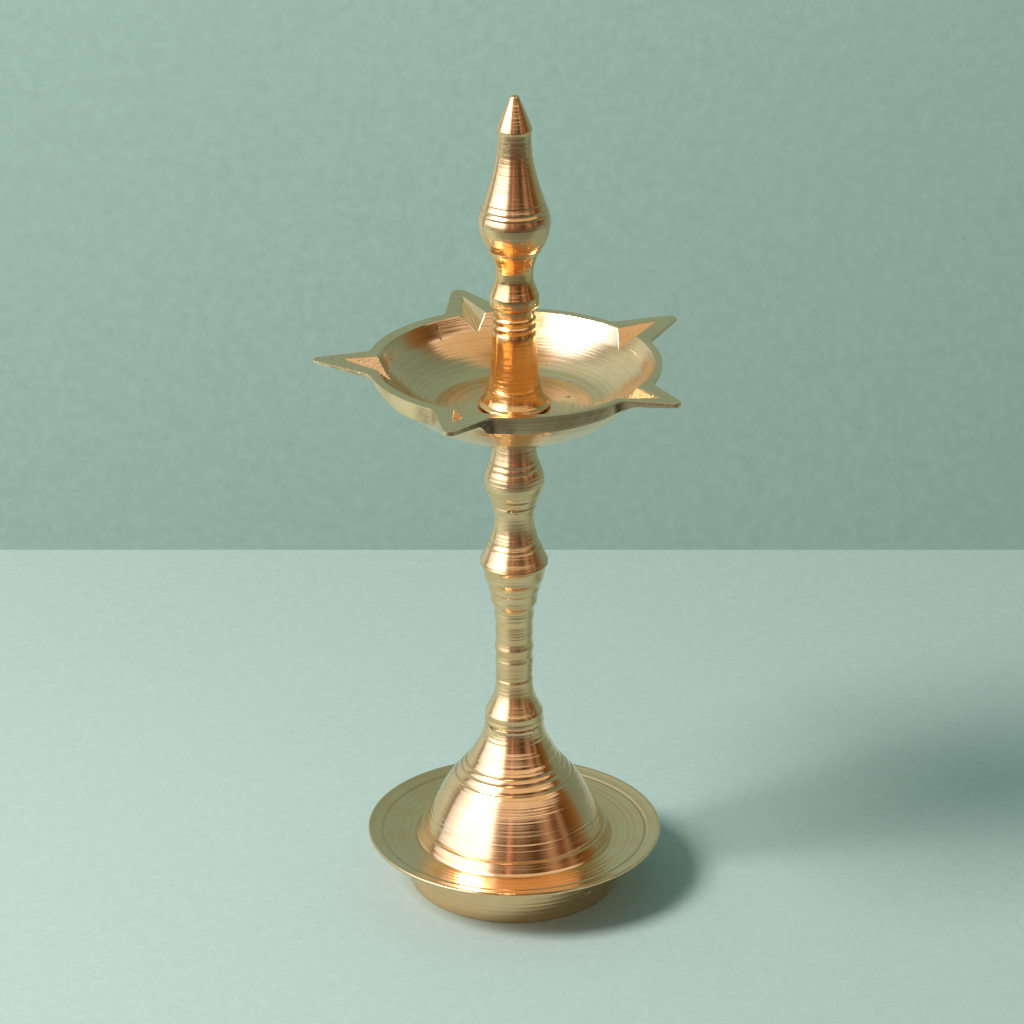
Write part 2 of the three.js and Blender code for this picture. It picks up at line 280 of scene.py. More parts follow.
def build_stem():
    """Baluster stem, with a socket for a stud at each end."""
    lower = STEM_BOTTOM - 0.1
    outer = outline(
        [(7.8, lower), (7.93, lower + 0.12)],
        [(7.93, lower + 0.12), (7.98, 48.3), (7.78, 49.1), (7.8, 49.6), (7.86, 50.4), (7.5, 51.05)],
        [(7.5, 51.05), (6.55, 53.1), (5.95, 54.4), (5.4, 56.2), (5.08, 58.4), (4.98, 60.2)],
        [(4.98, 60.2), (4.9, 61.6), (5.05, 65.6), (4.92, 67.6), (5.2, 69.6), (4.92, 71.6),
         (5.06, 74.0), (5.0, 76.8), (5.22, 78.3)],
        [(5.22, 78.3), (5.29, 79.4), (5.33, 81.0), (5.6, 81.9), (6.0, 82.8), (6.28, 83.7)],
        [(6.28, 83.7), (6.33, 84.8), (6.5, 85.8), (6.8, 86.7), (7.0, 87.3)],
        [(7.0, 87.3), (7.05, 88.0), (7.2, 88.7), (7.55, 89.5), (7.9, 90.2)],
        [(7.9, 90.2), (8.05, 91.4), (8.4, 92.9), (8.75, 93.9)],
        [(8.75, 93.9), (8.98, 94.2), (8.96, 94.6)],
        [(8.96, 94.6), (8.84, 94.85), (9.02, 95.3)],
        [(9.02, 95.3), (8.85, 95.8), (8.35, 96.8), (7.5, 98.9), (6.6, 100.8), (6.05, 102.6),
         (5.55, 104.6), (5.37, 107.0), (5.48, 109.3), (5.8, 110.4)],
        [(5.8, 110.4), (6.1, 111.8)],
        [(6.1, 111.8), (6.5, 113.0), (7.0, 114.2), (7.6, 115.9), (8.0, 117.7), (7.97, 118.8),
         (7.8, 120.2), (7.3, 121.8), (6.8, 123.2), (6.35, 124.6), (5.9, 126.4), (5.6, 128.0)],
        [(5.6, 128.0), (5.45, 129.2), (5.4, STEM_TOP)],
    )
    marks = [(6.6, 123.9, 0.22, 0.16), (7.15, 122.3, 0.22, 0.16), (7.76, 120.4, 0.16, 0.07),
             (7.94, 119.3, 0.15, 0.06), (6.8, 113.8, 0.2, 0.2), (6.08, 111.6, 0.2, 0.2),
             (6.5, 101.0, 0.22, 0.16), (7.2, 99.5, 0.22, 0.16), (8.84, 94.8, 0.16, 0.1),
             (7.9, 90.15, 0.2, -0.04), (5.22, 78.3, 0.22, -0.06), (5.05, 74.4, 0.18, 0.06),
             (5.05, 73.6, 0.18, 0.05), (5.15, 69.7, 0.25, -0.06), (5.05, 65.8, 0.25, -0.05),
             (4.97, 60.7, 0.2, 0.09), (4.98, 60.0, 0.25, -0.06), (7.55, 51.1, 0.2, -0.05)]
    marks += [(7.6 + 0.26 * i, 98.6 - 0.55 * i, 0.13, 0.045) for i in range(6)]
    outer, soil = cut_marks(outer, marks)
    outer = tool_chatter(outer, seed=12, size=0.01, pitch=0.5)
    start = socket_below(BORE, SOCKET, lower, 7.8)
    end = socket_above(BORE, SOCKET, STEM_TOP, 5.4)
    points = np.vstack([[(0, lower + SOCKET)], start, outer[1:], end[1:], [(0, STEM_TOP - SOCKET)]])
    soil = np.concatenate([np.zeros(len(start) + 1), soil[1:], np.zeros(len(end))])
    pits = [(-101, 111.4, 0.42, 0.3), (-93, 111.9, 0.2, 0.2), (-84, 110.9, 0.22, 0.16),
            (-28, 66.3, 0.3, 0.18), (-35, 64.8, 0.22, 0.14), (-22, 63.1, 0.34, 0.2),
            (-30, 61.5, 0.26, 0.16), (-40, 67.6, 0.2, 0.12), (-18, 65.4, 0.26, 0.15),
            (-47, 51.9, 0.34, 0.25), (-50, 46.9, 0.2, 0.1), (160, 99.0, 0.3, 0.2)]
    return turned("stem", points, soil, pits, segments=128, wobble=0.025, seed=22)


def build_column():
    """Lower part of the finial: flared foot, shaft, two beads, collar and waist."""
    lower = COLUMN_BOTTOM
    outer = outline(
        [(9.3, lower), (9.58, lower + 0.25)],
        [(9.58, lower + 0.25), (9.45, lower + 0.6), (8.6, 141.1), (7.9, 142.3), (7.35, 143.7),
         (6.95, 145.4), (6.6, 147.6), (6.3, 150.2), (6.08, 153.0), (5.95, 156.2), (5.88, 159.2)],
        [(5.88, 159.2), (5.75, 160.2), (5.55, 161.0)],
        [(5.55, 161.0), (5.68, 161.6), (5.74, 162.1), (5.64, 162.6), (5.42, 163.1)],
        [(5.42, 163.1), (5.62, 163.8), (5.72, 164.3), (5.6, 164.8), (5.32, 165.2)],
        [(5.32, 165.2), (5.3, 167.3)],
        [(5.3, 167.3), (6.0, 167.6), (6.5, 168.1)],
        [(6.5, 168.1), (6.56, 168.5), (6.56, 170.5), (6.45, 171.1)],
        [(6.45, 171.1), (6.0, 172.2), (5.5, 173.4), (5.12, 174.8), (4.98, 176.4), (5.02, 177.6),
         (5.2, 178.7), (5.45, 179.8), (5.85, 181.0), (6.2, 182.0)],
        [(6.2, 182.0), (6.35, COLUMN_TOP)],
    )
    marks = [(6.56, 169.0, 0.2, 0.03), (7.0, 145.1, 0.22, 0.1), (5.5, 160.9, 0.25, 0.08),
             (5.42, 163.1, 0.22, 0.1), (6.5, 170.9, 0.18, -0.05), (5.28, 165.2, 0.2, 0.06)]
    outer, soil = cut_marks(outer, marks)
    outer = tool_chatter(outer, seed=13, size=0.008, pitch=0.5)
    start = socket_below(BORE, SOCKET, lower, 9.3)
    end = socket_above(BUD_BORE, BUD_SOCKET, COLUMN_TOP, 6.35)
    points = np.vstack([[(0, lower + SOCKET)], start, outer[1:], end[1:],
                        [(0, COLUMN_TOP - BUD_SOCKET)]])
    soil = np.concatenate([np.zeros(len(start) + 1), soil[1:], np.zeros(len(end))])
    pits = [(-70, 146.0, 0.2, 0.1), (140, 155.0, 0.25, 0.12)]
    return turned("column", points, soil, pits, segments=120, wobble=0.02, seed=23)


def build_bud():
    """Upper part of the finial: bulb, neck and pointed cone."""
    lower = BUD_BOTTOM
    outer = outline(
        [(6.9, lower), (7.05, lower + 0.12)],
        [(7.05, lower + 0.12), (7.1, 183.5), (7.35, 183.9)],
        [(7.35, 183.9), (7.9, 184.8), (8.4, 185.9), (8.85, 187.2), (9.2, 188.5), (9.42, 190.0),
         (9.48, 191.2), (9.35, 192.3), (9.1, 193.2), (8.78, 194.2)],
        [(8.78, 194.2), (8.3, 195.5), (7.7, 197.4), (7.0, 199.4), (6.35, 201.7), (5.7, 204.1),
         (5.2, 206.2), (4.82, 208.2), (4.56, 210.6), (4.42, 213.0), (4.42, 215.2)],
        [(4.42, 215.2), (4.55, 215.6), (4.64, 215.95)],
        [(4.64, 215.95), (4.52, 216.4), (3.95, 218.0), (3.12, 220.1), (2.25, 222.2), (1.4, 224.1)],
        [(1.4, 224.1), (1.15, 224.7), (0.6, TIP_Z - 0.04)],
    )
    marks = [(8.06, 196.4, 0.18, 0.1), (8.4, 195.4, 0.2, -0.05), (8.68, 194.65, 0.2, 0.16),
             (8.85, 193.9, 0.2, -0.06), (8.98, 193.3, 0.16, 0.08), (7.2, 183.8, 0.2, 0.1)]
    outer, soil = cut_marks(outer, marks)
    outer = tool_chatter(outer, seed=14, size=0.009, pitch=0.45)
    start = socket_below(BUD_BORE, BUD_SOCKET, lower, 6.9)
    points = np.vstack([[(0, lower + BUD_SOCKET)], start, outer[1:], [(0, TIP_Z)]])
    soil = np.concatenate([np.zeros(len(start) + 1), soil[1:], [0]])
    pits = [(-120, 204.0, 0.18, 0.08), (20, 199.0, 0.2, 0.1)]
    return turned("bud", points, soil, pits, segments=120, wobble=0.02, seed=24)


THREAD_DEPTH = 0.64  # of the pitch
ROWS_PER_TURN = 6
STUD_SEGMENTS = 40
CHAMFER = 0.35


def build_stud(node, pitch):
    """A rod with a real right-hand thread and chamfered ends."""
    low, high = corner(node, 0), corner(node, 1)
    major = high.x
    minor = major - THREAD_DEPTH * pitch
    segments = STUD_SEGMENTS
    rows = int((high.z - low.z) / (pitch / ROWS_PER_TURN))
    angles = np.linspace(0, TAU, segments, endpoint=False)[None, :]
    z = np.linspace(low.z, high.z, rows)[:, None]
    phase = (z / pitch - angles / TAU) % 1.0
    crest = np.clip(1.35 - 2.7 * np.abs(phase - 0.5), 0, 1)
    r = minor + (major - minor) * crest
    end = np.minimum(z - low.z, high.z - z)
    r = np.minimum(r, minor - CHAMFER + end)
    grid = np.stack([r * np.cos(angles), r * np.sin(angles), np.broadcast_to(z, r.shape)], 2)
    index, faces = ring_quads(rows, segments, closed=False)
    verts = np.vstack([grid.reshape(-1, 3), [[0, 0, low.z], [0, 0, high.z]]])
    faces += end_fans(index, rows * segments, rows * segments + 1)
    soil = np.concatenate([(0.7 * (1 - crest)).reshape(-1), [0, 0]])
    return make_object("thread_" + node, verts, faces, node, node, soil, 45)


# ------------------------------------------------------------------ the bowl

RIM_R = 38.8
FLOOR_R = 21.0  # the flat floor's edge
RIM_WIDTH = 1.9
INNER_R = RIM_R - RIM_WIDTH
BAND_BOTTOM = RIM_Z - 4.4
UNDER_BAND_R = 36.6  # where the dish starts below the band
RIM_START = 37.2  # where the rows stop being circles and start to follow the outer edge
SPOUT_ROOT = 31.0  # a spout's wedge reaches this far in
SPOUT_BLEND = 1.2  # rounding of the corners between spout and rim
LONGEST_SPOUT = 17.0
# Each spout is different, being filed by hand. Seen from above, in mm: the tip's centre and radius,
# the two roots on the rim; then the channel's far point, the way its bottom runs inwards (degrees),
# its fall and the steepness of its two walls. "left" and "right" are as seen looking outwards.
SPOUTS = [
    dict(tip=(-51.2, 1.5), tip_r=1.6, left=(-39.4, -8.0), right=(-38.4, 7.2),
         point=(-44.9, 1.7), inward=-5.0, fall=0.44, steep_left=0.62, steep_right=1.7),
    dict(tip=(-14.9, 50.0), tip_r=2.3, left=(-18.7, 34.2), right=(-3.2, 38.9),
         point=(-14.2, 47.4), inward=286.0, fall=0.265, steep_left=0.88, steep_right=1.27),
    dict(tip=(41.7, 31.2), tip_r=1.9, left=(26.6, 28.5), right=(36.0, 15.2),
         point=(38.7, 29.6), inward=224.2, fall=0.285, steep_left=0.9, steep_right=0.93),
    dict(tip=(41.0, -28.0), tip_r=1.7, left=(35.6, -15.2), right=(27.6, -27.4),
         point=(37.4, -25.3), inward=151.0, fall=0.38, steep_left=0.9, steep_right=0.68),
    dict(tip=(-16.3, -46.4), tip_r=1.8, left=(-6.3, -38.4), right=(-20.9, -33.2),
         point=(-15.6, -41.5), inward=70.6, fall=0.4, steep_left=1.2, steep_right=1.25),
]
# Where the band was filed: its bearing and half-width in degrees, and its darkness.
FILED = [(-101, 6.0, 0.95), (-94, 4.0, 0.55), (-46.8, 1.8, 1.0), (-56, 7.0, 0.4), (-70, 9.0, 0.22),
         (-126, 4.5, 0.45), (-171, 3.0, 0.5), (-176, 1.2, 0.6), (-31, 1.5, 0.3)]
# The upright band below the rim: its bearing and height there.
BAND = [(-180, 1.2), (-165, 0.8), (-160, 0.9), (-153, 2.1), (-143, 3.7), (-137, 4.4), (-125, 4.6),
        (-110, 4.6), (-90, 4.5), (-72, 4.3), (-55, 3.6), (-44, 2.6), (-36, 1.6), (-25, 1.2), (180, 1.2)]
# Small dark specks on the bowl's inside: x, y, radius.
SPECKS = [(14.5, 5.4, 0.42), (14.9, 7.4, 0.25), (14.6, 15.8, 0.22), (20.1, 12.4, 0.2),
          (-8.5, -14.0, 0.22), (-20.6, 27.9, 0.3), (-19.8, 26.6, 0.2), (9.0, 24.0, 0.2)]


def smin(a, b, k):
    """The smaller of two values, rounded where they cross over a width of k."""
    h = np.clip(0.5 + 0.5 * (b - a) / k, 0, 1)
    return b * (1 - h) + a * h - k * h * (1 - h)


def spout_distance(x, y, spout):
    """Distance to a spout's outline seen from above: a wedge of two flanks with a rounded tip."""
    tip = np.array(spout["tip"])
    px, py = x - tip[0], y - tip[1]
    flank, along = [], []
    for root, side in ((spout["left"], -1), (spout["right"], 1)):
        run = np.array(root) - tip
        length = np.linalg.norm(run)
        turn = math.atan2(run[1], run[0]) - side * math.asin(spout["tip_r"] / length)
        c, s = math.cos(turn), math.sin(turn)
        along.append(px * c + py * s)
        flank.append(side * (py * c - px * s))
    outside = np.maximum(flank[0], flank[1])
    beyond = (along[0] < 0) & (along[1] < 0)
    wedge = np.where(beyond, np.hypot(px, py), outside) - spout["tip_r"]
    outwards = (x * tip[0] + y * tip[1]) / np.linalg.norm(tip)
    return np.maximum(wedge, SPOUT_ROOT - outwards)


HALVINGS = 40


def outline_radius(angles):
    """Outer radius of the bowl seen from above, for each direction."""
    lo = np.full_like(angles, RIM_R - 0.5)
    hi = np.full_like(angles, RIM_R + LONGEST_SPOUT)
    for _ in range(HALVINGS):
        mid = (lo + hi) / 2
        x, y = mid * np.cos(angles), mid * np.sin(angles)
        d = mid - RIM_R
        for spout in SPOUTS:
            d = smin(d, spout_distance(x, y, spout), SPOUT_BLEND)
        inside = d < 0
        lo = np.where(inside, mid, lo)
        hi = np.where(inside, hi, mid)
    return (lo + hi) / 2


WALL = outline([(FLOOR_R, BOWL_FLOOR), (24.6, 140.9), (28.4, 143.1), (31.8, 146.0), (33.4, 147.6)],
               [(33.4, 147.6), (33.8, 148.15), (35.0, 150.1), (36.6, 152.7)], step=0.2)


def wall_height(r):
    """Height of the bowl's inside at a radius; it carries on upwards past the rim."""
    z = np.interp(r, WALL[:, 0], WALL[:, 1])
    above_rim = RIM_Z + (r - INNER_R) * 1.5
    return np.where(r > INNER_R, above_rim, np.where(r < FLOOR_R, BOWL_FLOOR, z))


def rim_extra(angles):
    """How much wider than usual the rim's face is: it was filed by hand."""
    degrees = np.degrees(angles)
    wide = 0.9 * np.exp(-(wrapped(degrees - 140) / 24.0) ** 2)
    wide += 0.6 * np.exp(-(wrapped(degrees - 58) / 9.0) ** 2)
    wide -= 0.7 * np.exp(-((degrees - 5) / 40.0) ** 2) + 0.6 * np.exp(-((degrees + 70) / 25.0) ** 2)
    wide += 0.12 * np.sin(3 * angles + 1.0) + 0.08 * np.sin(7 * angles)
    return wide


def band_height(angles):
    """Height of the upright band below the rim: tall in front, nearly gone at the sides and behind."""
    return np.interp(np.degrees(angles), *zip(*BAND))


def file_marks(angles, t):
    """Dark file marks on the band and under the spouts; t runs from the rim down."""
    degrees = np.degrees(angles)
    marks = np.zeros_like(angles)
    for centre, half, dark in FILED:
        marks = np.maximum(marks, dark * np.clip(1.5 - np.abs(degrees - centre) / half, 0, 1))
    lines = 0.5 + 0.5 * np.sin(degrees * 9.5 + t * 11) * np.sin(degrees * 5.1 - t * 17 + 1.3)
    return marks * np.clip(0.35 + 1.3 * lines, 0, 1)


def top_height(x, y, angles):
    """Height of the bowl's upper side: inside wall, flat rim and the spouts' wick channels."""
    r = np.hypot(x, y)
    shift = rim_extra(angles) * np.clip((r - 27) / 9, 0, 1) ** 2
    z = smin(wall_height(r + shift), np.full_like(r, RIM_Z), 0.25)
    for spout in SPOUTS:
        c, s = math.cos(math.radians(spout["inward"])), math.sin(math.radians(spout["inward"]))
        px, py = x - spout["point"][0], y - spout["point"][1]
        u, v = px * c + py * s, -px * s + py * c
        steep = np.where(v > 0, spout["steep_right"], spout["steep_left"])
        groove = RIM_Z - spout["fall"] * u + steep * (np.sqrt(v * v + 0.01) - 0.1)
        groove = groove + 0.04 * np.sin(u * 5.1 + spout["inward"]) * np.clip((9 - u) / 4, 0, 1)
        z = np.where((u < 19) & (r > 24), smin(z, groove, 0.22), z)
    return np.minimum(z, RIM_Z)


UNDER = outline([(36.1, BAND_BOTTOM), (34.9, 146.6), (32.9, 144.5), (30.6, 142.3), (28.1, 140.1),
                 (25.5, 138.3), (22.9, 137.1), (20.4, 136.1), (18.6, 135.2)],
                [(18.6, 135.2), (17.6, 134.6), (14.0, 133.2), (10.5, 132.1), (8.6, 131.5),
                 (7.3, 130.9)], step=0.8)
RAISED_LINES = (20.2, 17.4)  # radii, on the underside
SPOUT_START, SPOUT_EDGE = 3.5, 1.5  # how far out a spout's thin edge begins, and its height


def bowl_bearings():
    """The directions of the mesh's columns, in radians: closest together at the spouts' tips."""
    steps = [np.arange(-180, 180, 0.8)]
    for spout in SPOUTS:
        turn = math.degrees(math.atan2(spout["tip"][1], spout["tip"][0]))
        for half, step in ((14.0, 0.25), (4.5, 0.125)):
            steps.append(turn + np.arange(-half, half, step))
    degrees = np.unique(np.round(wrapped(np.concatenate(steps)), 3))
    return np.radians(degrees[np.concatenate([[True], np.diff(degrees) > 0.06])])


def build_bowl():
    """Dish, rim band and spouts as one skin of rows: inside, rim, outer edge, underside and bore."""
    angles = bowl_bearings()
    edge = outline_radius(angles)
    cos, sin = np.cos(angles), np.sin(angles)
    columns = len(angles)
    rows, soils = [], []
    rng = np.random.default_rng(5)

    def add(radius, height, soil=0.0):
        radius = np.broadcast_to(radius, (columns,))
        rows.append(np.stack([radius * cos, radius * sin, np.broadcast_to(height, (columns,))], 1))
        soils.append(np.broadcast_to(soil, (columns,)))

    # the edge is as tall as the band on the bowl, thin on a spout and thinner still at its tip
    beyond = np.clip((edge - RIM_R) / SPOUT_START, 0, 1)
    beyond = beyond * beyond * (3 - 2 * beyond)
    far = np.clip((edge - RIM_R - SPOUT_START) / 10.5, 0, 1)
    band = band_height(angles)
    thick = band + (np.minimum(band, SPOUT_EDGE) - band) * beyond - 0.5 * far
    near_root = np.clip((edge - RIM_R) / 0.4, 0, 1) * np.clip((RIM_R + 5.0 - edge) / 5.0, 0, 1)

    # inside: floor, wall, rim and channels
    inner_rows = np.concatenate([np.linspace(BORE, FLOOR_R - 1, 18), np.linspace(FLOOR_R, 33, 30)[:-1],
                                 np.linspace(33, RIM_START, 26)])
    for radius in inner_rows:
        x, y = radius * cos, radius * sin
        z = top_height(x, y, angles)
        z = np.where(radius < FLOOR_R, z - 0.03 * math.sin(radius * 2.1), z)
        speck = np.zeros(columns)
        for sx, sy, size in SPECKS:
            speck = np.maximum(speck, np.clip(1.6 - np.hypot(x - sx, y - sy) / size, 0, 1))
        add(radius, z - 0.12 * speck, speck)
    for t in np.linspace(0, 1, 34)[1:]:
        radius = RIM_START + (edge - 0.22 - RIM_START) * t
        add(radius, top_height(radius * cos, radius * sin, angles))
    # the outer edge: a small bevel, the filed side, another bevel
    nick = rng.normal(0, 1, columns)
    nick = np.convolve(np.concatenate([nick[-3:], nick, nick[:3]]), np.ones(7) / 7, "valid") * near_root
    add(edge - 0.06, RIM_Z - 0.06, 0.1)
    for i, t in enumerate(np.linspace(0.22, 1, 8)):
        scratch = 0.05 * np.sin(t * 19 + angles * 90) * near_root + 0.06 * nick * math.sin(t * 9)
        bevel = 0.03 if i in (0, 7) else 0.0
        add(edge - np.abs(scratch) - bevel, RIM_Z - thick * t,
            np.maximum(0.2 * near_root * (i / 7), file_marks(angles, t)))
    # under the band and the spouts, down to the dish
    band_foot = RIM_Z - thick
    for t in np.linspace(0, 1, 15)[1:]:
        radius = edge - 0.12 + (UNDER_BAND_R - edge + 0.12) * t
        add(radius, band_foot + (BAND_BOTTOM + 0.35 - band_foot) * t,
            (1 - t) ** 2 * file_marks(angles, 1 + t))
    # the underside, with raised turned lines near the middle, and the boss
    for radius, height in UNDER:
        line = 0.16 * sum(math.exp(-(((radius - c) / 0.35) ** 2)) for c in RAISED_LINES)
        add(radius, height - line)
    add(7.1, BOWL_BOTTOM + 0.05)
    add(6.9, BOWL_BOTTOM)
    add(BORE, BOWL_BOTTOM)
    add(BORE, (BOWL_BOTTOM + BOWL_FLOOR) / 2)

    # the rows run from the inside outwards, so the faces are turned over
    faces = [[a, d, c, b] for a, b, c, d in ring_quads(len(rows), columns, closed=True)[1]]
    return make_object("lamp_bowl", np.concatenate(rows), faces, "bowl", "bowl",
                       np.concatenate(soils), 28)


# ------------------------------------------------------------------ materials


class Nodes:
    """Short names for building the nodes of one material or world."""

    def __init__(self, owner):
        self.owner = owner
        owner.use_nodes = True
        self.tree = owner.node_tree
        self.tree.nodes.clear()

    def new(self, kind, inputs=None, **settings):
        """A node. Each input is linked if it is a socket, and otherwise set."""
        node = self.tree.nodes.new(kind)
        for key, value in settings.items():
            setattr(node, key, value)
        for key, value in (inputs or {}).items():
            if isinstance(value, bpy.types.NodeSocket):
                self.tree.links.new(value, node.inputs[key])
            else:
                node.inputs[key].default_value = value
        return node

    def math(self, operation, a, b=0.0, c=0.0, clamp=False):
        node = self.new("ShaderNodeMath", {0: a, 1: b, 2: c}, operation=operation, use_clamp=clamp)
        return node.outputs[0]

    def noise(self, vector, scale, detail=2.0, rough=0.5, distort=0.0):
        node = self.new("ShaderNodeTexNoise", {"Vector": vector, "Scale": scale, "Detail": detail,
                                               "Roughness": rough, "Distortion": distort})
        return node.outputs["Fac"]

    def ramp(self, value, low, high, to_low=0.0, to_high=1.0):
        node = self.new("ShaderNodeMapRange", {"Value": value, "From Min": low, "From Max": high,
                                               "To Min": to_low, "To Max": to_high})
        return node.outputs["Result"]

    def mix(self, factor, a, b):
        """A colour between a and b. The numbers are the colour sockets of a Mix node."""
        node = self.new("ShaderNodeMix", data_type="RGBA")
        for key, value in ((0, factor), (6, a), (7, b)):
            if isinstance(value, bpy.types.NodeSocket):
                self.tree.links.new(value, node.inputs[key])
            else:
                node.inputs[key].default_value = value
        return node.outputs[2]

    def scale(self, colour, factor):
        inputs = {0: colour, "Scale": factor}
        return self.new("ShaderNodeVectorMath", inputs, operation="SCALE").outputs[0]


GRIME = (0.05, 0.032, 0.014, 1)


def darker(colour, factor):
    return tuple(factor * c for c in colour[:3]) + (1,)


def brass(name, light, deep, roughness, spread, marks, coarse, tarnish):
    """Turned brass: rings and fine scratches round the axis, tarnish in patches, dirt in the grooves.

    spread is the anisotropy across the turning marks; marks and coarse are the strengths of the fine
    and the broad rings."""
    n = Nodes(bpy.data.materials.new(name))
    place = n.new("ShaderNodeTexCoord").outputs["Object"]
    x, y, z = n.new("ShaderNodeSeparateXYZ", {0: place}).outputs
    radius = n.math("SQRT", n.math("ADD", n.math("MULTIPLY", x, x), n.math("MULTIPLY", y, y)))
    around = n.math("ARCTAN2", y, x)

    def rings(per_metre, turn):
        return n.new("ShaderNodeCombineXYZ", {0: n.math("MULTIPLY", radius, per_metre),
                                              1: n.math("MULTIPLY", z, per_metre),
                                              2: n.math("MULTIPLY", around, turn)}).outputs[0]

    fine = n.noise(rings(4200.0, 0.5), 1.0, rough=0.6)
    broad = n.noise(rings(1500.0, 0.15), 1.0)
    short = n.noise(rings(2600.0, 3.0), 1.0)
    patch = n.noise(place, 85.0, detail=4.0, rough=0.6, distort=0.6)
    speck = n.noise(place, 900.0)
    soil = n.new("ShaderNodeAttribute", attribute_name="soil").outputs["Fac"]

    tone = n.ramp(patch, 0.35, 0.7)
    colour = n.mix(tone, light, deep)
    streak = n.math("MULTIPLY", n.ramp(broad, 0.52, 0.72), tarnish)
    colour = n.mix(streak, colour, darker(deep, 0.7))
    scratch = n.math("MULTIPLY", n.ramp(short, 0.66, 0.76), 0.35 * tarnish + 0.05)
    colour = n.mix(scratch, colour, darker(deep, 0.5))
    dirt = n.math("MULTIPLY", n.ramp(soil, 0.05, 1.0), n.ramp(speck, 0.25, 0.6, 0.7, 1.0))
    colour = n.mix(dirt, colour, GRIME)

    gloss = n.math("ADD", n.ramp(fine, 0.3, 0.75, roughness - 0.03, roughness + 0.05),
                   n.ramp(patch, 0.4, 0.75, 0.0, 0.05))
    gloss = n.math("ADD", gloss, n.math("MULTIPLY", dirt, 0.3))
    bump = n.new("ShaderNodeBump", {"Height": fine, "Distance": 0.00003, "Strength": marks})
    bump = n.new("ShaderNodeBump", {"Height": broad, "Distance": 0.0001, "Strength": coarse,
                                    "Normal": bump.outputs[0]})
    bump = n.new("ShaderNodeBump", {"Height": speck, "Distance": 0.00001, "Strength": 0.2,
                                    "Normal": bump.outputs[0]})
    tangent = n.new("ShaderNodeTangent", direction_type="RADIAL", axis="Z")
    shader = n.new("ShaderNodeBsdfPrincipled", {
        "Base Color": colour, "Metallic": 1.0, "Roughness": gloss, "Anisotropic": spread,
        "Anisotropic Rotation": 0.25, "Normal": bump.outputs[0], "Tangent": tangent.outputs[0]})
    n.new("ShaderNodeOutputMaterial", {"Surface": shader.outputs[0]})
    return n.owner


# Painted shade on the paper in front of the lamp: where it is full and where it ends, in metres, and
# how much of the paper's colour it leaves.
PAINTED_SHADE_FROM, LIT_FROM, PAINTED_SHADE_KEEPS = -0.22, -0.10, 0.42


def paper(name, colour, dark):
    """Pale coloured paper with a faint fibre texture, and a painted shade in front of the lamp."""
    n = Nodes(bpy.data.materials.new(name))
    place = n.new("ShaderNodeTexCoord").outputs["Object"]
    fibre = n.noise(place, 420.0, detail=5.0, rough=0.68, distort=0.9)
    cloud = n.noise(place, 9.0)
    mottled = n.mix(n.ramp(fibre, 0.32, 0.68), dark, colour)
    mottled = n.mix(n.ramp(cloud, 0.3, 0.7, 0.0, 0.25), mottled, colour)
    # painted shade: in front of what the camera sees, the paper is painted darker as if the dim room
    # shaded it, and the brass mirrors it
    north = n.new("ShaderNodeSeparateXYZ", {"Vector": place}).outputs[1]
    painted_shade_colour = n.scale(mottled, n.ramp(north, PAINTED_SHADE_FROM, LIT_FROM, PAINTED_SHADE_KEEPS, 1.0))
    bump = n.new("ShaderNodeBump", {"Height": fibre, "Distance": 0.0002, "Strength": 0.25})
    shader = n.new("ShaderNodeBsdfPrincipled", {"Base Color": painted_shade_colour, "Roughness": 0.9,
                                                "Normal": bump.outputs[0]})
    n.new("ShaderNodeOutputMaterial", {"Surface": shader.outputs[0]})
    return n.owner


# ------------------------------------------------------------------ build it

COARSE_PITCH, FINE_PITCH = 1.27, 1.058
base = build_base()
stem = build_stem()
bowl = build_bowl()
column = build_column()
bud = build_bud()
studs = [build_stud("lower_stud", COARSE_PITCH), build_stud("upper_stud", COARSE_PITCH),
         build_stud("bud_stud", FINE_PITCH)]

base.data.materials.append(brass(
    "brass_polished", light=(0.92, 0.64, 0.385, 1), deep=(0.88, 0.57, 0.30, 1),
    roughness=0.105, spread=0.45, marks=0.8, coarse=0.8, tarnish=0.3))
stem.data.materials.append(brass(
    "brass_spun", light=(0.92, 0.65, 0.38, 1), deep=(0.85, 0.56, 0.28, 1),
    roughness=0.19, spread=0.75, marks=0.9, coarse=0.9, tarnish=0.45))
# painted reflection: the column's brass is a deeper, more saturated gold than the other pieces,
# standing in for the warm light the bowl reflects onto it
column.data.materials.append(brass(
    "brass_deep_painted_reflection", light=(0.93, 0.62, 0.31, 1), deep=(0.86, 0.52, 0.21, 1),
    roughness=0.10, spread=0.4, marks=0.8, coarse=0.8, tarnish=0.3))
bud.data.materials.append(brass(
    "brass_bright", light=(0.93, 0.65, 0.38, 1), deep=(0.87, 0.57, 0.29, 1),
    roughness=0.15, spread=0.6, marks=0.8, coarse=0.8, tarnish=0.3))
bowl.data.materials.append(brass(
    "brass_satin", light=(0.90, 0.66, 0.41, 1), deep=(0.84, 0.59, 0.33, 1),
    roughness=0.14, spread=0.5, marks=0.9, coarse=0.7, tarnish=0.35))
threads = brass(
    "brass_thread", light=(0.66, 0.5, 0.27, 1), deep=(0.5, 0.36, 0.17, 1),
    roughness=0.4, spread=0.3, marks=0.5, coarse=0.2, tarnish=0.6)
for stud in studs:
    stud.data.materials.append(threads)

# ------------------------------------------------------------------ floor and light

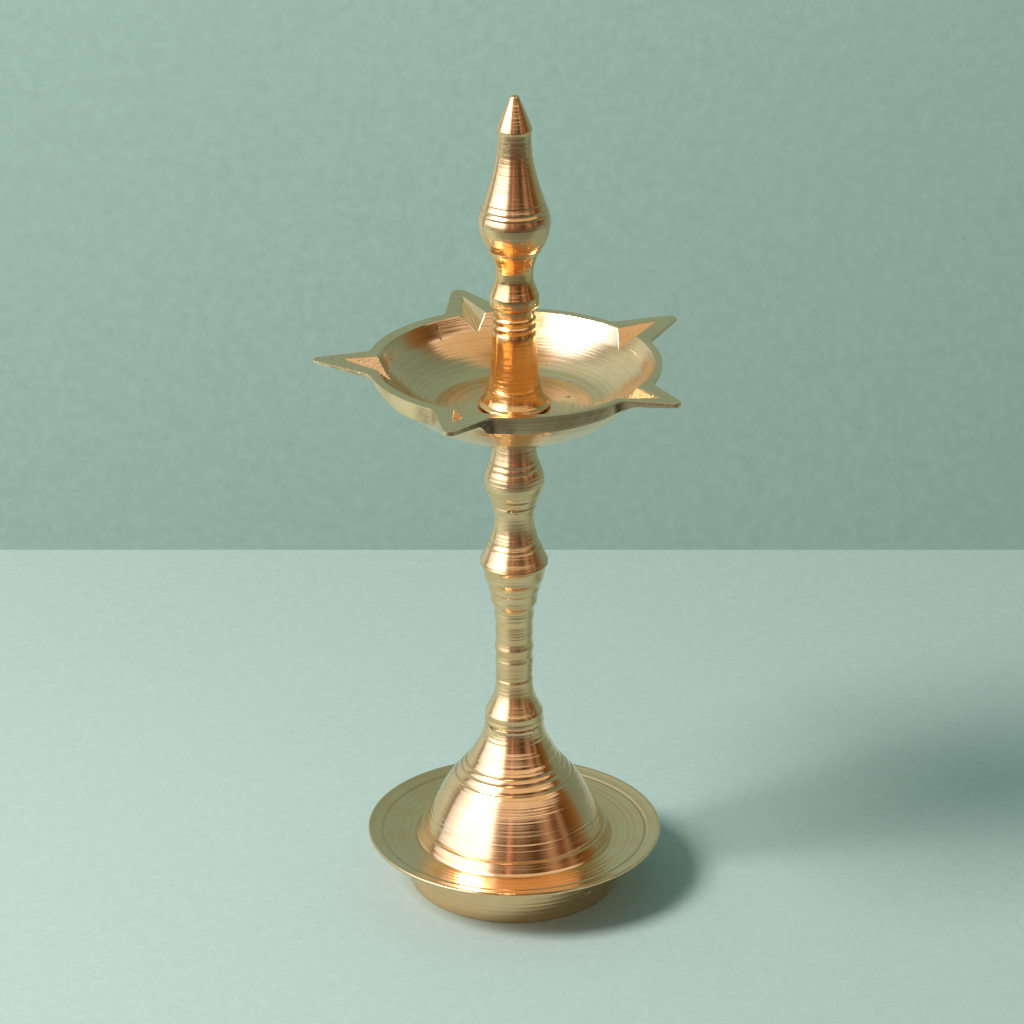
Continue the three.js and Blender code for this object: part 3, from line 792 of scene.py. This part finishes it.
# The paper floor, in metres. Its back edge is the line across the photo, where the wall begins.
FLOOR_SIDE, FLOOR_FRONT, FLOOR_BACK = 3, -0.6, 0.2165
floor_mesh = bpy.data.meshes.new("floor")
floor_mesh.from_pydata([(-FLOOR_SIDE, FLOOR_FRONT, 0), (FLOOR_SIDE, FLOOR_FRONT, 0),
                        (FLOOR_SIDE, FLOOR_BACK, 0), (-FLOOR_SIDE, FLOOR_BACK, 0)], [], [(0, 1, 2, 3)])
floor_mesh.materials.append(paper("paper_mint", (0.42, 0.51, 0.475, 1), (0.365, 0.455, 0.425, 1)))
floor = bpy.data.objects.new("floor", floor_mesh)
bpy.context.scene.collection.objects.link(floor)

# One large soft light from the upper left.
KEY_PLACE, LAMP_CENTRE = Vector((-0.70, -0.29, 0.86)), Vector((0.0, 0.0, 0.1))
key_data = bpy.data.lights.new("key", "AREA")
key_data.shape = "RECTANGLE"
key_data.size = key_data.size_y = 0.40
key_data.energy = 15.5
key_data.color = (1.0, 0.98, 0.96)
key = bpy.data.objects.new("key", key_data)
key.location = KEY_PLACE
key.rotation_euler = (LAMP_CENTRE - KEY_PLACE).to_track_quat("-Z", "Y").to_euler()
bpy.context.scene.collection.objects.link(key)

# ------------------------------------------------------------------ the room, as a world

# Painted light on the wall: lighter at the left, towards the key light, and darker at the right.
WALL_LIT_LEFT, WALL_SHADED_RIGHT = (0.34, 0.50, 0.42), (0.20, 0.29, 0.245)
# What stands round the lamp, as (bearing in degrees, colour): pale paper behind, a wide white window at
# the left, a dim room in front. Bearing 0 is the front, and positive is to the right.
ROOM = [
    (-180, (0.27, 0.40, 0.335)), (-160, (0.36, 0.49, 0.43)), (-142, (0.58, 0.70, 0.64)),
    (-125, (0.64, 0.76, 0.69)), (-113, (0.42, 0.46, 0.38)),
    (-109, (0.12, 0.08, 0.05)), (-106, (0.9, 1.0, 1.2)), (-92, (1.5, 1.6, 1.9)),
    (-76, (2.4, 2.5, 2.8)), (-35, (2.4, 2.4, 2.6)), (-28, (0.9, 0.76, 0.66)),
    (-22, (0.40, 0.30, 0.24)), (-14, (0.27, 0.19, 0.14)), (-10, (0.15, 0.09, 0.06)),
    (-8, (0.85, 0.42, 0.32)), (-5, (0.85, 0.41, 0.31)), (-3, (0.18, 0.10, 0.06)),
    (6, (0.26, 0.18, 0.13)),
    (18, (0.16, 0.10, 0.06)), (25, (0.08, 0.045, 0.025)), (33, (0.09, 0.05, 0.025)),
    (39, (0.24, 0.15, 0.10)), (50, (0.46, 0.30, 0.21)), (57, (0.22, 0.12, 0.07)),
    (64, (0.13, 0.055, 0.03)), (72, (0.38, 0.25, 0.16)), (79, (0.10, 0.05, 0.02)),
    (94, (0.19, 0.095, 0.025)), (104, (0.22, 0.16, 0.09)), (112, WALL_SHADED_RIGHT),
    (180, (0.27, 0.40, 0.335)),
]
CEILING, CEILING_RIGHT = (0.82, 0.62, 0.42), (0.74, 0.56, 0.37)
CEILING_LOW, CEILING_OVERHEAD = (1.10, 1.0, 0.88), (0.42, 0.30, 0.14)
UNDER_TABLE = (0.12, 0.08, 0.06)
SOFT_FRONT, SOFT_BACK = (0.15, 0.13, 0.12), (0.34, 0.60, 0.54)
# How far up the ceiling begins, as the sine of the height: low ahead, near the zenith elsewhere.
CEILING_AHEAD, CEILING_ELSEWHERE = (0.51,) * 3, (0.9,) * 3
CEILING_START = [(-180, CEILING_ELSEWHERE), (-32, CEILING_ELSEWHERE), (-26, CEILING_AHEAD),
                 (92, CEILING_AHEAD), (110, CEILING_ELSEWHERE), (180, CEILING_ELSEWHERE)]


def opaque(colour):
    return tuple(colour) + (1,)


def by_bearing(n, bearing, stops):
    """A colour for each bearing, from a table like ROOM. A ramp holds at most 32 stops."""
    node = n.new("ShaderNodeValToRGB", {0: bearing})
    node.color_ramp.interpolation = "LINEAR"
    items = node.color_ramp.elements
    items.remove(items[1])
    for i, (degrees, colour) in enumerate(stops):
        place = (degrees + 180) / 360
        item = items.new(place) if i else items[0]
        item.position = place
        item.color = opaque(colour)
    return node.outputs["Color"]


def build_room(world):
    """The brass mirrors the room, the paper is lit by its average, and the camera sees the wall, with
    painted light on it.
    """
    n = Nodes(world)
    direction = n.new("ShaderNodeTexCoord").outputs["Generated"]
    east, north, up = n.new("ShaderNodeSeparateXYZ", {0: direction}).outputs
    turns = n.math("DIVIDE", n.math("ARCTAN2", east, n.math("MULTIPLY", north, -1.0)), TAU)
    bearing = n.math("ADD", turns, 0.5)

    room = by_bearing(n, bearing, ROOM)
    to_right = n.math("MULTIPLY_ADD", east, 2.5, -0.1, clamp=True)
    ceiling = n.mix(to_right, opaque(CEILING), opaque(CEILING_RIGHT))
    low = n.math("MULTIPLY_ADD", up, -10.0, 6.8, clamp=True)
    ceiling = n.mix(low, ceiling, opaque(CEILING_LOW))
    overhead = n.math("MULTIPLY_ADD", up, 20.0, -18.6, clamp=True)
    ceiling = n.mix(overhead, ceiling, opaque(CEILING_OVERHEAD))
    start = by_bearing(n, bearing, CEILING_START)
    above = n.math("DIVIDE", n.math("SUBTRACT", up, start), 0.05, clamp=True)
    room = n.mix(above, room, ceiling)
    ahead = n.math("MULTIPLY", north, -4.0, clamp=True)
    below = n.math("MULTIPLY", n.math("MULTIPLY", up, -40.0, clamp=True), ahead)
    room = n.mix(below, room, opaque(UNDER_TABLE))

    backwards = n.math("ADD", n.math("MULTIPLY", north, 0.6), 0.5, clamp=True)
    soft = n.mix(backwards, opaque(SOFT_FRONT), opaque(SOFT_BACK))

    # painted light on the wall: lighter towards the key light at the left and towards the top
    across = n.math("ADD", n.math("MULTIPLY", east, 2.2), 0.5, clamp=True)
    wall = n.mix(across, opaque(WALL_LIT_LEFT), opaque(WALL_SHADED_RIGHT))
    fibre = n.math("MULTIPLY_ADD", n.noise(direction, 420.0, detail=4.0, rough=0.65), 0.28, 0.88)
    wall = n.scale(wall, n.math("MULTIPLY", fibre, n.math("MULTIPLY_ADD", up, 1.5, 1.57)))

    ray = n.new("ShaderNodeLightPath")
    # what the brass mirrors, else what lights the paper; and the wall, with its painted light, where
    # the camera looks past it
    lit = n.mix(ray.outputs["Is Glossy Ray"], soft, room)
    lit = n.mix(ray.outputs["Is Camera Ray"], lit, wall)
    back = n.new("ShaderNodeBackground", {"Color": lit, "Strength": 1.0})
    n.new("ShaderNodeOutputWorld", {"Surface": back.outputs[0]})


bpy.context.scene.world = bpy.data.worlds.new("room")
build_room(bpy.context.scene.world)

# ------------------------------------------------------------------ camera, as solved from the photo

camera_data = bpy.data.cameras.new("camera")
camera_data.lens = 153.3
camera_data.sensor_width = 36
camera = bpy.data.objects.new("camera", camera_data)
camera.location = (-0.0006, -1.060, 0.5768)
camera.rotation_euler = (math.radians(66.18), 0, 0)
bpy.context.scene.collection.objects.link(camera)
bpy.context.scene.camera = camera
bpy.context.scene.view_settings.view_transform = "Standard"
